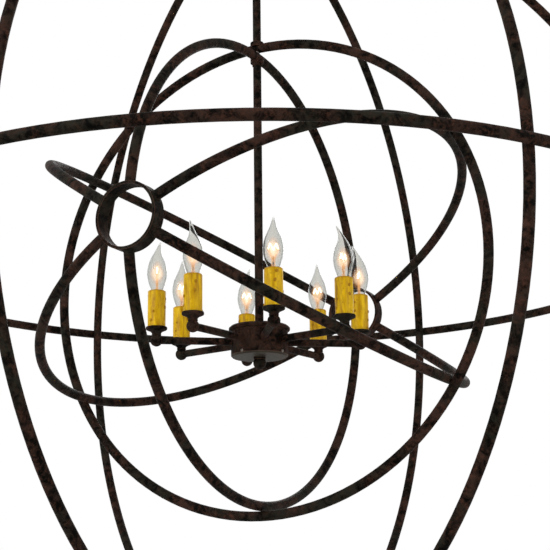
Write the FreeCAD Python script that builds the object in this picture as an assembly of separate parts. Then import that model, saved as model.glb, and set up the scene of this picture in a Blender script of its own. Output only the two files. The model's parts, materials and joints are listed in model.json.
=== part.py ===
import FreeCAD, Part
import math
import os

from FreeCAD import Placement, Rotation, Vector

# Orb chandelier: two nested cages of bent round tube on one hanging stem, with a ring of
# eight candle lights inside. All lengths are in millimetres and all angles in degrees.
# The origin lies on the ceiling, on the stem's axis, and +Z points up.
# +Y runs along the inner cage's hub axis, from its front hub ring to its rear one.

# ---- hoops and hub rings ----
tube_diameter = 16.5            # bent round tube of every hoop
inner_hoop_radius = 400.0       # centre line of the inner cage's meridian hoops
outer_hoop_radius = 700.0       # centre line of the outer cage's meridian hoops
outer_turn = -1.1               # how far the outer cage stands turned on the stem
inner_right_tilt = 28.8         # slope of the inner hoop that rises towards +X
inner_left_tilt = 32.5          # slope of the inner hoop that rises towards -X
hub_ring_diameter = 105.0       # outside of the short bands that the hoops end on
hub_ring_wall = 4.5
hub_ring_width = 25.0
weld_gap = 0.1                  # left between tube and seat for the weld to fill

# ---- heights ----
ceiling_to_orb = 330.0          # ceiling to the middle of the outer cage's top hub ring
inner_orb_drop = 19.0           # inner cage's centre below the outer cage's centre
arm_drop = 122.6                # arms' axis below the inner cage's centre

# ---- stem and its threaded joints ----
stem_diameter = 14.6
stem_bore = 10.0
nipple_diameter = 9.7           # all-thread tube that joins everything on the axis
nipple_bore = 6.5
thread_fit = 0.05               # radial room between a nipple and what it screws into
thread_grip = 12.0              # how far a nipple screws into what it joins
nut_flats = 17.0
nut_thickness = 5.0
turn_gap = 0.1                  # room that lets a cage turn between its nuts
hub_plate_thickness = 4.0
saddle_diameter = 24.0
saddle_wrap = 5.0               # how far a saddle reaches round its tube
saddle_web = 3.0                # metal between the tube and the saddle's flat face

# ---- ceiling end ----
crossbar_length = 112.0
crossbar_width = 20.0
crossbar_thickness = 3.0
slot_spacing = 88.9             # 3 1/2 in between the outlet box screws
slot_length = 14.0
slot_width = 4.8
canopy_diameter = 150.0
canopy_depth = 38.0
canopy_wall = 1.6
canopy_shoulder = 9.0           # height and depth of the slope round its lower edge
canopy_ceiling_gap = 0.5
canopy_travel = 30.0            # how far the canopy comes down to open the outlet box
collar_diameter = 28.0
collar_height = 10.0
collar_grips = 16               # scallops round the collar's edge
collar_scallop_diameter = 2.8
collar_scallop_depth = 0.7

# ---- hang-straight swivel ----
fork_diameter = 24.0
fork_body = 15.0
ear_slot = 14.0                 # opening between a fork's two ears
link_clearance = 0.3            # each side of the link between the ears
pin_diameter = 6.0
pin_fit = 0.05
pin_reach = 8.0                 # from a pin's axis to the fork's floor and ear tips
pin_spacing = 26.0              # between the two crossed pins
pin_head_diameter = 9.0
pin_head = 1.2                  # thickness of the riveted heads

# ---- pan ----
pan_diameter = 97.5
pan_lip_diameter = 105.0
pan_lip_height = 10.0
pan_lip_slope = 3.3             # height of the slopes above and below the lip's edge
pan_above_arms = 27.0
pan_below_arms = 26.5
pan_wall = 2.0
cover_thickness = 3.2
cover_slope = 2.4               # height and depth of the slope round its lower edge
cover_upstand = 10.0
cover_upstand_wall = 2.0
cover_slip = 0.2                # room between the cover's upstand and the pan's wall
cover_screw_count = 4
cover_screw_diameter = 3.0
cover_screw_height = 5.6        # above the cover's lower face
screw_head_diameter = 5.4
screw_head_top_diameter = 2.7
screw_head_height = 1.8
finial_collar_diameter = 20.5
finial_collar_height = 3.5
finial_ball_diameter = 22.0
finial_ball_drop = 9.8          # ball's middle below the cover

# ---- arms and candles ----
arm_count = 8
first_arm_angle = -53.7
arm_radius = 176.0              # stem axis to candle axis
arm_diameter = 12.7
arm_bore = 6.0
arm_stub_diameter = 9.5         # threaded ends of the arms and of the lampholders' studs
arm_inner_stub = 12.0           # threaded end inside the pan
stub_spacing = 0.4              # keeps the arm's end in an elbow clear of the stud from above
arm_nut_flats = 14.0
arm_nut_thickness = 4.0
elbow_diameter = 21.0
elbow_flat = 8.5                # elbow's centre to each of its two flats
cup_foot_diameter = 16.0
cup_neck_diameter = 14.0
cup_neck_height = 12.0          # above the arms' axis, like the next three
cup_flare_height = 16.4
cup_rim_bottom = 18.2
cup_floor = 20.3
cup_flare_diameter = 23.0
cup_diameter = 36.5
cup_rim_height = 2.5            # above the floor
cup_rim_wall = 1.2
sleeve_diameter = 32.0
sleeve_bore = 22.6
sleeve_height = 65.5
sleeve_slope = 2.5              # height and depth of the slope round its top edge
socket_stand_diameter = 12.0
socket_stand_height = 22.0
socket_diameter = 20.0
socket_height = 52.0
bulb_base_diameter = 11.9
bulb_base_height = 24.0
bulb_base_above_socket = 2.0
bulb_seat = 0.1                 # radial room round the screwed-in base
glass_wall = 0.8
glass_outline = (               # heights above the base's top, with the glass's diameter there
    (0.0, 11.9),
    (15.0, 21.0),
    (29.0, 30.2),
    (43.0, 34.0),
    (58.0, 29.6),
    (74.0, 18.6),
)
glass_tip = (                   # height, diameter and sideways lean of the drawn-out tip
    (84.0, 12.4, 2.4),
    (93.0, 7.0, 6.4),
    (100.5, 1.6, 10.3),
)
bulb_turns = (165, 217, 179, 37, 316, 307, 232, 9)   # where each bulb's tip leans, outwards being 0

# ---- places that follow from the sizes ----
tube_radius = tube_diameter / 2
ring_radius = hub_ring_diameter / 2
nipple_radius = nipple_diameter / 2
pan_radius = pan_diameter / 2


def pole_distance(hoop_radius):
    """Distance from a cage's centre to the middle of its hub rings."""
    return math.sqrt(hoop_radius ** 2 - ring_radius ** 2)


cross_hoop_radius = inner_hoop_radius + tube_diameter + weld_gap
equator_radius = outer_hoop_radius + tube_diameter + weld_gap
top_hub_z = -ceiling_to_orb
outer_centre = Vector(0, 0, top_hub_z - pole_distance(outer_hoop_radius))
inner_centre = outer_centre - Vector(0, 0, inner_orb_drop)
arm_z = inner_centre.z - arm_drop

hub_plate_top = top_hub_z + hub_plate_thickness / 2
hub_plate_bottom = top_hub_z - hub_plate_thickness / 2
upper_stem_bottom = hub_plate_top + turn_gap + nut_thickness
middle_stem_top = hub_plate_bottom - turn_gap - nut_thickness
upper_saddle_top = inner_centre.z + cross_hoop_radius + tube_radius + saddle_web
lower_saddle_bottom = inner_centre.z + inner_hoop_radius - tube_radius - saddle_web
middle_stem_bottom = upper_saddle_top + turn_gap
lower_stem_top = lower_saddle_bottom - turn_gap - nut_thickness
pan_top = arm_z + pan_above_arms
pan_bottom = arm_z - pan_below_arms
cover_top = pan_bottom + cover_thickness
cover_screw_z = pan_bottom + cover_screw_height

canopy_top = -canopy_ceiling_gap
canopy_bottom = canopy_top - canopy_depth
collar_bottom = canopy_bottom - collar_height
upper_fork_top = collar_bottom - canopy_travel - turn_gap
upper_pin_z = upper_fork_top - fork_body - pin_reach
lower_pin_z = upper_pin_z - pin_spacing
lower_fork_bottom = lower_pin_z - pin_reach - fork_body

sleeve_bottom = cup_floor
sleeve_top = sleeve_bottom + sleeve_height
socket_top = cup_floor + socket_height
bulb_base_bottom = socket_top + bulb_base_above_socket - bulb_base_height
glass_bottom = bulb_base_bottom + bulb_base_height
elbow_thread = elbow_flat - arm_stub_diameter / 2 - stub_spacing


# ---- building blocks ----
def rod(diameter, low, high):
    """Upright round bar on the Z axis, between two heights."""
    return Part.makeCylinder(diameter / 2, high - low, Vector(0, 0, low))


def rod_along(axis, diameter, start, length):
    """Round bar from a start point along an axis."""
    return Part.makeCylinder(diameter / 2, length, start, axis)


def pipe(outside, bore, low, high):
    return rod(outside, low, high).cut(rod(bore, low, high))


def block(size_x, size_y, low, high):
    """Upright rectangular block centred on the Z axis."""
    corner = Vector(-size_x / 2, -size_y / 2, low)
    return Part.makeBox(size_x, size_y, high - low, corner)


def turned(outline):
    """Solid of revolution about Z from a closed outline of (radius, height) corners."""
    corners = [at(radius, height) for radius, height in outline]
    face = Part.Face(Part.makePolygon(corners + corners[:1]))
    return face.revolve(Vector(0, 0, 0), Vector(0, 0, 1), 360)


def at(radius, height):
    return Vector(radius, 0, height)


def moved(shape, place):
    copy = shape.copy()
    copy.Placement = place.multiply(copy.Placement)
    return copy


def spun(shape, angle):
    """The shape turned about the Z axis."""
    return moved(shape, Placement(Vector(), Rotation(Vector(0, 0, 1), angle)))


def around(shape, count, first_angle=0.0):
    """Copies of a shape, evenly spaced about the Z axis."""
    return [spun(shape, first_angle + index * 360 / count) for index in range(count)]


def hex_nut(flats, bore, low, high):
    corners = []
    for index in range(7):
        angle = math.radians(60 * index)
        reach = flats / math.sqrt(3)
        corners.append(Vector(reach * math.cos(angle), reach * math.sin(angle), low))
    prism = Part.Face(Part.makePolygon(corners)).extrude(Vector(0, 0, high - low))
    return prism.cut(rod(bore, low, high))


def nipple(low, high):
    return pipe(nipple_diameter, nipple_bore, low, high)


def threaded_hole(low, high):
    return rod(nipple_diameter + 2 * thread_fit, low, high)


# ---- hoops ----
def half_hoop(hoop_radius):
    """Half of a meridian hoop in the XY plane, bulging to +Y, between hub rings on the X axis."""
    start = math.degrees(math.asin(ring_radius / hoop_radius)) / 2
    tube = Part.makeTorus(hoop_radius, tube_radius, Vector(), Vector(0, 0, 1), -180, 180, 180 - 2 * start)
    tube.rotate(Vector(), Vector(0, 0, 1), start)
    reach = hoop_radius + tube_diameter
    seat = rod_along(Vector(1, 0, 0), hub_ring_diameter + 2 * weld_gap, Vector(-reach, 0, 0), 2 * reach)
    return tube.cut(seat)


def facing(hub_axis, bulge):
    """Rotation that takes a half hoop's X to the hub axis and its Y to the way it bulges."""
    return Rotation(hub_axis, bulge, hub_axis.cross(bulge), "XYZ")


def hub_ring(centre, axis):
    start = centre - axis * (hub_ring_width / 2)
    band = rod_along(axis, hub_ring_diameter, start, hub_ring_width)
    return band.cut(rod_along(axis, hub_ring_diameter - 2 * hub_ring_wall, start, hub_ring_width))


def stem_hole(centre, hoop_radius):
    """The hole that lets the stem's nipple through the top of a hoop."""
    middle = centre.z + hoop_radius
    return threaded_hole(middle - tube_diameter, middle + tube_diameter)


def outer_cage():
    """Six half hoops between two pole rings, an equator hoop round them and the hub plate."""
    pieces = {}
    tube = half_hoop(outer_hoop_radius)
    for index in range(6):
        angle = math.radians(90 + outer_turn + 60 * index)
        bulge = Vector(math.cos(angle), math.sin(angle), 0)
        turn = facing(Vector(0, 0, 1), bulge)
        pieces[f"outer_hoop_{index + 1}"] = moved(tube, Placement(outer_centre, turn))
    pieces["outer_equator_hoop"] = Part.makeTorus(equator_radius, tube_radius, outer_centre,
                                                  Vector(0, 0, 1))
    pole = Vector(0, 0, pole_distance(outer_hoop_radius))
    pieces["outer_top_hub"] = hub_ring(outer_centre + pole, Vector(0, 0, 1))
    pieces["outer_bottom_hub"] = hub_ring(outer_centre - pole, Vector(0, 0, 1))
    plate_diameter = hub_ring_diameter - 2 * hub_ring_wall - 2 * weld_gap
    pieces["outer_hub_plate"] = rod(plate_diameter, hub_plate_bottom, hub_plate_top).cut(
        threaded_hole(hub_plate_bottom, hub_plate_top))
    return pieces


def inner_cage():
    """Six half hoops between two side rings, a cross hoop round them and two stem saddles."""
    pieces = {}
    tube = half_hoop(inner_hoop_radius)
    bulge_angles = (inner_right_tilt, 90, 180 - inner_left_tilt)
    for index in range(6):
        angle = math.radians(bulge_angles[index % 3] + 180 * (index // 3))
        bulge = Vector(math.cos(angle), 0, math.sin(angle))
        turn = facing(Vector(0, 1, 0), bulge)
        pieces[f"inner_hoop_{index + 1}"] = moved(tube, Placement(inner_centre, turn))
    top_hoop = pieces["inner_hoop_2"]
    pieces["inner_hoop_2"] = top_hoop.cut(stem_hole(inner_centre, inner_hoop_radius))
    cross_hoop = Part.makeTorus(cross_hoop_radius, tube_radius, inner_centre, Vector(0, 1, 0))
    pieces["inner_cross_hoop"] = cross_hoop.cut(stem_hole(inner_centre, cross_hoop_radius))
    side = Vector(0, pole_distance(inner_hoop_radius), 0)
    pieces["inner_front_hub"] = hub_ring(inner_centre - side, Vector(0, 1, 0))
    pieces["inner_rear_hub"] = hub_ring(inner_centre + side, Vector(0, 1, 0))
    pieces["inner_saddles"] = Part.makeCompound(stem_saddles())
    return pieces


def stem_saddles():
    """Grooved washers that seat flat nuts on the round tubes where the stem passes through."""
    height = saddle_web + saddle_wrap
    upper_seat = saddle_groove(Vector(1, 0, 0), inner_centre.z + cross_hoop_radius)
    sag = inner_hoop_radius - math.sqrt(inner_hoop_radius ** 2 - saddle_diameter ** 2 / 4)
    lower_seat = saddle_groove(Vector(0, 1, 0), inner_centre.z + inner_hoop_radius - sag)
    upper = rod(saddle_diameter, upper_saddle_top - height, upper_saddle_top)
    lower = rod(saddle_diameter, lower_saddle_bottom, lower_saddle_bottom + height)
    hole = threaded_hole(lower_saddle_bottom, upper_saddle_top)
    return [upper.cut(upper_seat).cut(hole), lower.cut(lower_seat).cut(hole)]


def saddle_groove(axis, height):
    """Straight round-bottomed groove that fits over a hoop's tube."""
    start = Vector(0, 0, height) - axis * saddle_diameter
    return rod_along(axis, tube_diameter + 2 * weld_gap, start, 2 * saddle_diameter)


# ---- ceiling end ----
def crossbar():
    """Flat strap that screws across the outlet box, with a slot at each end."""
    bar = block(crossbar_length, crossbar_width, -crossbar_thickness, 0)
    bar = bar.cut(threaded_hole(-crossbar_thickness, 0))
    straight = slot_length - slot_width
    for side in (-1, 1):
        middle = Vector(side * slot_spacing / 2, 0, -crossbar_thickness)
        slot = Part.makeBox(straight, slot_width, crossbar_thickness,
                            middle - Vector(straight / 2, slot_width / 2, 0))
        for end in (-1, 1):
            centre = middle + Vector(end * straight / 2, 0, 0)
            slot = slot.fuse(Part.makeCylinder(slot_width / 2, crossbar_thickness, centre))
        bar = bar.cut(slot)
    return bar


def canopy():
    """Round spun cover with a sloped shoulder, open to the ceiling."""
    hole = nipple_radius + thread_fit
    outer = canopy_diameter / 2
    wide = outer - canopy_wall
    narrow = outer - canopy_shoulder
    floor = canopy_bottom + canopy_wall
    return turned([
        (hole, canopy_bottom),
        (narrow, canopy_bottom),
        (outer, canopy_bottom + canopy_shoulder),
        (outer, canopy_top),
        (wide, canopy_top),
        (wide, canopy_bottom + canopy_shoulder),
        (narrow, floor),
        (hole, floor),
    ])


def canopy_collar():
    """Threaded ring that holds the canopy up, scalloped for the fingers."""
    ring = pipe(collar_diameter, nipple_diameter + 2 * thread_fit, collar_bottom, canopy_bottom)
    scallop_radius = collar_scallop_diameter / 2
    centre = at(collar_diameter / 2 - collar_scallop_depth + scallop_radius, collar_bottom)
    scallop = Part.makeCylinder(scallop_radius, collar_height, centre)
    for cutter in around(scallop, collar_grips):
        ring = ring.cut(cutter)
    return ring


def fork():
    """Swivel fork on the Z axis, pin axis along X at height 0, ears down and body up."""
    body = rod(fork_diameter, 0, pin_reach + fork_body)
    ears = rod(fork_diameter, -pin_reach, 0)
    ear_tip = rod_along(Vector(1, 0, 0), 2 * pin_reach, Vector(-fork_diameter, 0, 0), 2 * fork_diameter)
    solid = body.fuse(ears.common(ear_tip))
    slot = block(ear_slot, 2 * fork_diameter, -pin_reach, pin_reach)
    pin_hole = rod_along(Vector(1, 0, 0), pin_diameter + 2 * pin_fit, Vector(-fork_diameter, 0, 0),
                         2 * fork_diameter)
    socket = threaded_hole(pin_reach + fork_body - thread_grip, pin_reach + fork_body)
    return solid.cut(slot).cut(pin_hole).cut(socket)


def swivel_forks():
    upper = moved(fork(), Placement(Vector(0, 0, upper_pin_z), Rotation()))
    upside_down = Rotation(Vector(1, 0, 0), 180)
    quarter_turn = Rotation(Vector(0, 0, 1), 90)
    lower = moved(fork(), Placement(Vector(0, 0, lower_pin_z), quarter_turn.multiply(upside_down)))
    return upper, lower


def swivel_link():
    """Block between the forks, rounded about each of its two crossed pins."""
    width = ear_slot - 2 * link_clearance
    link = block(width, width, lower_pin_z, upper_pin_z)
    for axis, middle in pin_places():
        link = link.fuse(rod_along(axis, width, middle - axis * (width / 2), width))
    for pin in swivel_pins():
        link = link.cut(pin)
    return link


def pin_places():
    """Axis and middle of each of the two crossed pins."""
    return (Vector(1, 0, 0), Vector(0, 0, upper_pin_z)), (Vector(0, 1, 0), Vector(0, 0, lower_pin_z))


def swivel_pins():
    """The two crossed pins, with a riveted head outside each ear."""
    pins = []
    reach = fork_diameter / 2 + turn_gap
    for axis, middle in pin_places():
        pin = rod_along(axis, pin_diameter, middle - axis * reach, 2 * reach)
        for side in (-1, 1):
            outward = axis * side
            pin = pin.fuse(rod_along(outward, pin_head_diameter, middle + outward * reach, pin_head))
        pins.append(pin)
    return pins


# ---- stem ----
def stem_pieces():
    pieces = {}
    spans = {
        "stem_upper": (upper_stem_bottom, lower_fork_bottom),
        "stem_middle": (middle_stem_bottom, middle_stem_top),
        "stem_lower": (pan_top, lower_stem_top),
    }
    for name, (low, high) in spans.items():
        pieces[name] = pipe(stem_diameter, stem_bore, low, high)
    joints = [
        nipple(lower_fork_bottom - thread_grip, lower_fork_bottom + thread_grip),
        nipple(middle_stem_top - thread_grip, upper_stem_bottom + thread_grip),
        nipple(lower_stem_top - thread_grip, middle_stem_bottom + thread_grip),
        nipple(pan_bottom - thread_grip, pan_top + thread_grip),
    ]
    pieces["stem_nipples"] = Part.makeCompound(joints)
    bore = nipple_diameter + 2 * thread_fit
    lows = [hub_plate_top + turn_gap, middle_stem_top, lower_stem_top, pan_top - pan_wall - nut_thickness,
            cover_top]
    nuts = [hex_nut(nut_flats, bore, low, low + nut_thickness) for low in lows]
    pieces["stem_nuts"] = Part.makeCompound(nuts)
    return pieces


# ---- pan ----
def arm_holes(diameter, reach):
    """Bars along each arm's axis, for cutting the holes that the arms screw through."""
    bar = rod_along(Vector(1, 0, 0), diameter, Vector(0, 0, arm_z), reach)
    return around(bar, arm_count, first_arm_angle)


def under_arms(shape):
    """Copies of a side screw or its hole, under every second arm from the second one."""
    return around(shape, cover_screw_count, first_arm_angle + 360 / arm_count)


def screw_holes(diameter):
    """Bars along each side screw's axis, for cutting the holes in the pan and its cover."""
    return under_arms(rod_along(Vector(1, 0, 0), diameter, at(pan_radius / 2, cover_screw_z), pan_radius))


def pan_body():
    """Upside-down cup with a rolled lip round its closed top."""
    lip = pan_lip_diameter / 2
    inner = pan_radius - pan_wall
    hole = nipple_radius + thread_fit
    ceiling = pan_top - pan_wall
    shell = turned([
        (hole, pan_top),
        (pan_radius, pan_top),
        (lip, pan_top - pan_lip_slope),
        (lip, pan_top - pan_lip_height + pan_lip_slope),
        (pan_radius, pan_top - pan_lip_height),
        (pan_radius, cover_top),
        (inner, cover_top),
        (inner, ceiling),
        (hole, ceiling),
    ])
    for cutter in arm_holes(arm_stub_diameter + 2 * thread_fit, pan_diameter):
        shell = shell.cut(cutter)
    for cutter in screw_holes(cover_screw_diameter + 2 * thread_fit):
        shell = shell.cut(cutter)
    return shell


def pan_cover():
    """Disc under the pan, with a sloped edge and an upstand that its side screws go into."""
    upstand = pan_radius - pan_wall - cover_slip
    hole = nipple_radius + thread_fit
    cover = turned([
        (hole, pan_bottom),
        (pan_radius - cover_slope, pan_bottom),
        (pan_radius, pan_bottom + cover_slope),
        (pan_radius, cover_top),
        (upstand, cover_top),
        (upstand, cover_top + cover_upstand),
        (upstand - cover_upstand_wall, cover_top + cover_upstand),
        (upstand - cover_upstand_wall, cover_top),
        (hole, cover_top),
    ])
    for cutter in screw_holes(cover_screw_diameter):
        cover = cover.cut(cutter)
    return cover


def pan_screws():
    """Domed side screws through the pan's wall into the cover's upstand."""
    shank_length = pan_wall + cover_slip + cover_upstand_wall
    shank = rod_along(Vector(-1, 0, 0), cover_screw_diameter, at(pan_radius, cover_screw_z), shank_length)
    head = Part.makeCone(screw_head_diameter / 2, screw_head_top_diameter / 2, screw_head_height,
                         at(pan_radius, cover_screw_z), Vector(1, 0, 0))
    return Part.makeCompound(under_arms(shank.fuse(head)))


def finial():
    """Collar and ball that screws on under the cover."""
    collar = rod(finial_collar_diameter, pan_bottom - finial_collar_height, pan_bottom)
    ball = Part.makeSphere(finial_ball_diameter / 2, at(0, pan_bottom - finial_ball_drop))
    ball = ball.cut(rod(2 * finial_ball_diameter, pan_bottom - finial_collar_height,
                        pan_bottom + finial_ball_diameter))
    socket = threaded_hole(pan_bottom - thread_grip, pan_bottom)
    return collar.fuse(ball).cut(socket)


# ---- arms and candles, built on the +X arm ----
def arm():
    """Straight tube with a threaded stub at each end."""
    axis = Vector(1, 0, 0)
    start, end = pan_radius, arm_radius - elbow_flat
    tube = rod_along(axis, arm_diameter, at(start, arm_z), end - start)
    stub_start = start - pan_wall - arm_inner_stub
    stub_length = end + elbow_thread - stub_start
    stub = rod_along(axis, arm_stub_diameter, at(stub_start, arm_z), stub_length)
    bore = rod_along(axis, arm_bore, at(stub_start, arm_z), stub_length)
    return tube.fuse(stub).cut(bore)


def arm_nut():
    """Nut that clamps an arm from inside the pan."""
    nut = hex_nut(arm_nut_flats, arm_stub_diameter + 2 * thread_fit, 0, arm_nut_thickness)
    lay_down = Rotation(Vector(0, 1, 0), 90)
    face = pan_radius - pan_wall - arm_nut_thickness - wall_bulge(arm_nut_flats)
    return moved(nut, Placement(at(face, arm_z), lay_down))


def wall_bulge(width):
    """How far a flat of the given width stands off inside the pan's round wall."""
    inner = pan_radius - pan_wall
    reach = width / math.sqrt(3)
    return inner - math.sqrt(inner ** 2 - reach ** 2)


def elbow():
    """Ball that turns the arm's line upwards, with a flat for the arm and one for the cup."""
    centre = at(arm_radius, arm_z)
    ball = Part.makeSphere(elbow_diameter / 2, centre)
    size = elbow_diameter
    arm_side = Part.makeBox(size, size, size,
                            centre + Vector(-elbow_flat - size, -size / 2, -size / 2))
    cup_side = Part.makeBox(size, size, size, centre + Vector(-size / 2, -size / 2, elbow_flat))
    ball = ball.cut(arm_side).cut(cup_side)
    hole = arm_stub_diameter + 2 * thread_fit
    grip = elbow_thread + thread_fit
    arm_hole = rod_along(Vector(1, 0, 0), hole, centre - Vector(elbow_flat, 0, 0), grip)
    cup_hole = rod_along(Vector(0, 0, 1), hole, centre + Vector(0, 0, elbow_flat - grip), grip)
    wire_in = rod_along(Vector(1, 0, 0), arm_bore, centre - Vector(elbow_flat, 0, 0),
                        elbow_flat + arm_bore / 2)
    wire_up = rod_along(Vector(0, 0, 1), arm_bore, centre - Vector(0, 0, arm_bore / 2),
                        elbow_flat + arm_bore / 2)
    return ball.cut(arm_hole).cut(cup_hole).cut(wire_in.fuse(wire_up))


def on_candle_axis(shape):
    return moved(shape, Placement(at(arm_radius, arm_z), Rotation()))


def drip_cup():
    """Trumpet-shaped neck flaring into a shallow dish that the sleeve stands in."""
    hole = arm_stub_diameter / 2 + thread_fit
    rim = cup_diameter / 2
    rim_top = cup_floor + cup_rim_height
    return on_candle_axis(turned([
        (hole, elbow_flat),
        (cup_foot_diameter / 2, elbow_flat),
        (cup_neck_diameter / 2, cup_neck_height),
        (cup_flare_diameter / 2, cup_flare_height),
        (rim, cup_rim_bottom),
        (rim, rim_top),
        (rim - cup_rim_wall, rim_top),
        (rim - cup_rim_wall, cup_floor),
        (hole, cup_floor),
    ]))


def sleeve():
    """Candle-shaped cover with its top edge sloped back."""
    outer, bore = sleeve_diameter / 2, sleeve_bore / 2
    return on_candle_axis(turned([
        (bore, sleeve_bottom),
        (outer, sleeve_bottom),
        (outer, sleeve_top - sleeve_slope),
        (outer - sleeve_slope, sleeve_top),
        (bore, sleeve_top),
    ]))


def lamp_socket():
    """Candelabra lampholder on its stand, with a stud down through the cup into the elbow."""
    stand_top = cup_floor + socket_stand_height
    stud_bottom = elbow_flat - elbow_thread
    stud = rod(arm_stub_diameter, stud_bottom, cup_floor)
    stand = rod(socket_stand_diameter, cup_floor, stand_top)
    body = rod(socket_diameter, stand_top, socket_top)
    holder = stud.fuse(stand).fuse(body)
    holder = holder.cut(rod(arm_bore, stud_bottom, stand_top))
    bore = bulb_base_diameter + 2 * bulb_seat
    return on_candle_axis(holder.cut(rod(bore, bulb_base_bottom - bulb_seat, socket_top)))


def bulb(turn):
    """Bent-tip flame bulb: hollow glass on a screw base, turned about its own axis."""
    base = rod(bulb_base_diameter, bulb_base_bottom, glass_bottom)
    glass = flame(0, glass_outline).fuse(bent_tip())
    hollow = flame(glass_wall, glass_outline[::2])
    return on_candle_axis(spun(Part.makeCompound([base, glass.cut(hollow)]), turn))


def flame(inset, points):
    """Flame-shaped solid through the points, drawn in by a wall thickness."""
    outline = [(0, glass_bottom + points[0][0] + inset)]
    for height, diameter in points:
        outline.append((diameter / 2 - inset, max(glass_bottom + height, outline[0][1])))
    outline.append((0, outline[-1][1]))
    return turned(outline)


def bent_tip():
    """The glass's drawn-out tip, which leans over from the top of the flame."""
    circles = []
    for height, diameter, lean in ((*glass_outline[-1], 0), *glass_tip):
        circle = Part.makeCircle(diameter / 2, Vector(lean, 0, glass_bottom + height))
        circles.append(Part.Wire(circle))
    return Part.makeLoft(circles, True, True)


# ---- the whole lamp ----
def lights():
    pieces = {}
    for index, shape in enumerate(around(arm(), arm_count, first_arm_angle)):
        pieces[f"arm_{index + 1}"] = shape
    for name, make in (("arm_nuts", arm_nut), ("elbows", elbow), ("drip_cups", drip_cup),
                       ("candle_sleeves", sleeve), ("lamp_sockets", lamp_socket)):
        pieces[name] = Part.makeCompound(around(make(), arm_count, first_arm_angle))
    for index in range(arm_count):
        turn = bulb_turns[index % len(bulb_turns)]
        pieces[f"bulb_{index + 1}"] = spun(bulb(turn), first_arm_angle + index * 360 / arm_count)
    return pieces


def ceiling_end():
    upper_fork, lower_fork = swivel_forks()
    return {
        "crossbar": crossbar(),
        "hanger_nipple": nipple(upper_fork_top - thread_grip, 0),
        "hanger_nut": hex_nut(nut_flats, nipple_diameter + 2 * thread_fit,
                              -crossbar_thickness - nut_thickness, -crossbar_thickness),
        "canopy": canopy(),
        "canopy_collar": canopy_collar(),
        "swivel_upper_fork": upper_fork,
        "swivel_link": swivel_link(),
        "swivel_pins": Part.makeCompound(swivel_pins()),
        "swivel_lower_fork": lower_fork,
    }


def pan_pieces():
    return {"pan_body": pan_body(), "pan_cover": pan_cover(), "pan_screws": pan_screws(), "finial": finial()}


def main():
    os.makedirs("parts", exist_ok=True)
    pieces = {}
    for group in (ceiling_end, stem_pieces, outer_cage, inner_cage, pan_pieces, lights):
        pieces.update(group())
    for name, shape in pieces.items():
        shape.exportStep(f"parts/{name}.step")
        solids = len(shape.Solids)
        print(f"{name}: {solids} solid(s), {shape.Volume / 1000:.1f} cm3, valid {shape.isValid()}")
    print(len(pieces), "nodes")


main()
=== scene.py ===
"""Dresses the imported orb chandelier: its finishes, wax candles, lit flame bulbs and weld beads.

All lengths are in metres, and the named angles are in degrees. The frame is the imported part's
own: the origin is on the ceiling, on the stem's axis, and +Z points up. Outlines that are turned
about an axis are (radius, height) points.
"""

import json
import math
import random

import bmesh
import bpy
from mathutils import Matrix, Vector


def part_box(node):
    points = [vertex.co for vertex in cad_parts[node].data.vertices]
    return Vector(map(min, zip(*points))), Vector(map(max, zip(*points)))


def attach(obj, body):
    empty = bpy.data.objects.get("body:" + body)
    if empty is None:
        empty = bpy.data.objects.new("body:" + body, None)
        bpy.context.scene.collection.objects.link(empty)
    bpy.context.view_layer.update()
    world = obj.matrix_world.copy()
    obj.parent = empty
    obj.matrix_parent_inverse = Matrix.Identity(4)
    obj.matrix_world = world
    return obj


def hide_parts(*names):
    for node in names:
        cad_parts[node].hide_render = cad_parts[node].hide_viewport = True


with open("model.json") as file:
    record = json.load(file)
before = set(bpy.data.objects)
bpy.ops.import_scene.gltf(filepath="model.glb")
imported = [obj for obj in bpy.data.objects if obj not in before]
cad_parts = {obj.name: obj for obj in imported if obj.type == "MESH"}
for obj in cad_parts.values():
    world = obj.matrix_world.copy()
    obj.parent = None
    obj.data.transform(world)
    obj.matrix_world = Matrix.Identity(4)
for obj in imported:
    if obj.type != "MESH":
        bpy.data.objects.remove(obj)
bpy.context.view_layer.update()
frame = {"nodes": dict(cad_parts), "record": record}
nodes = frame["nodes"]

X_AXIS = Vector((1, 0, 0))
Y_AXIS = Vector((0, 1, 0))
Z_AXIS = Vector((0, 0, 1))

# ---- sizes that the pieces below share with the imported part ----
ARM_COUNT = 8
FIRST_ARM_ANGLE = -53.7
ARM_RADIUS = 0.176
ELBOW_REACH = 0.0105            # from an arm's axis down to the underside of its elbow
TUBE_RADIUS = 0.00825
RING_RADIUS = 0.0525
OUTER_HOOP_RADIUS = 0.700
INNER_HOOP_RADIUS = 0.400
OUTER_TURN = -1.1
INNER_BULGES = (28.8, 90.0, 147.5, 208.8, 270.0, 327.5)

low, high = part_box("outer_equator_hoop")
OUTER_CENTRE = (low + high) / 2
low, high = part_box("inner_cross_hoop")
INNER_CENTRE = (low + high) / 2
low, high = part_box("elbows")
ARM_Z = low.z + ELBOW_REACH
low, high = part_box("candle_sleeves")
SLEEVE_BOTTOM, SLEEVE_TOP = low.z, high.z


# ---- nodes ----
def new_material(name):
    """A new material, with its tree of nodes and its shader."""
    material = bpy.data.materials.new(name)
    material.use_nodes = True
    tree = material.node_tree
    return material, tree, tree.nodes["Principled BSDF"]


def fill(tree, node, **inputs):
    """Fills a node's inputs by name: another node's output is linked, any other value is stored."""
    for socket, value in inputs.items():
        target = node.inputs[socket.replace("_", " ")]
        if isinstance(value, bpy.types.NodeSocket):
            tree.links.new(value, target)
        else:
            target.default_value = value
    return node


def add(tree, kind, **inputs):
    """A new node with some of its inputs filled."""
    return fill(tree, tree.nodes.new(kind), **inputs)


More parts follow.
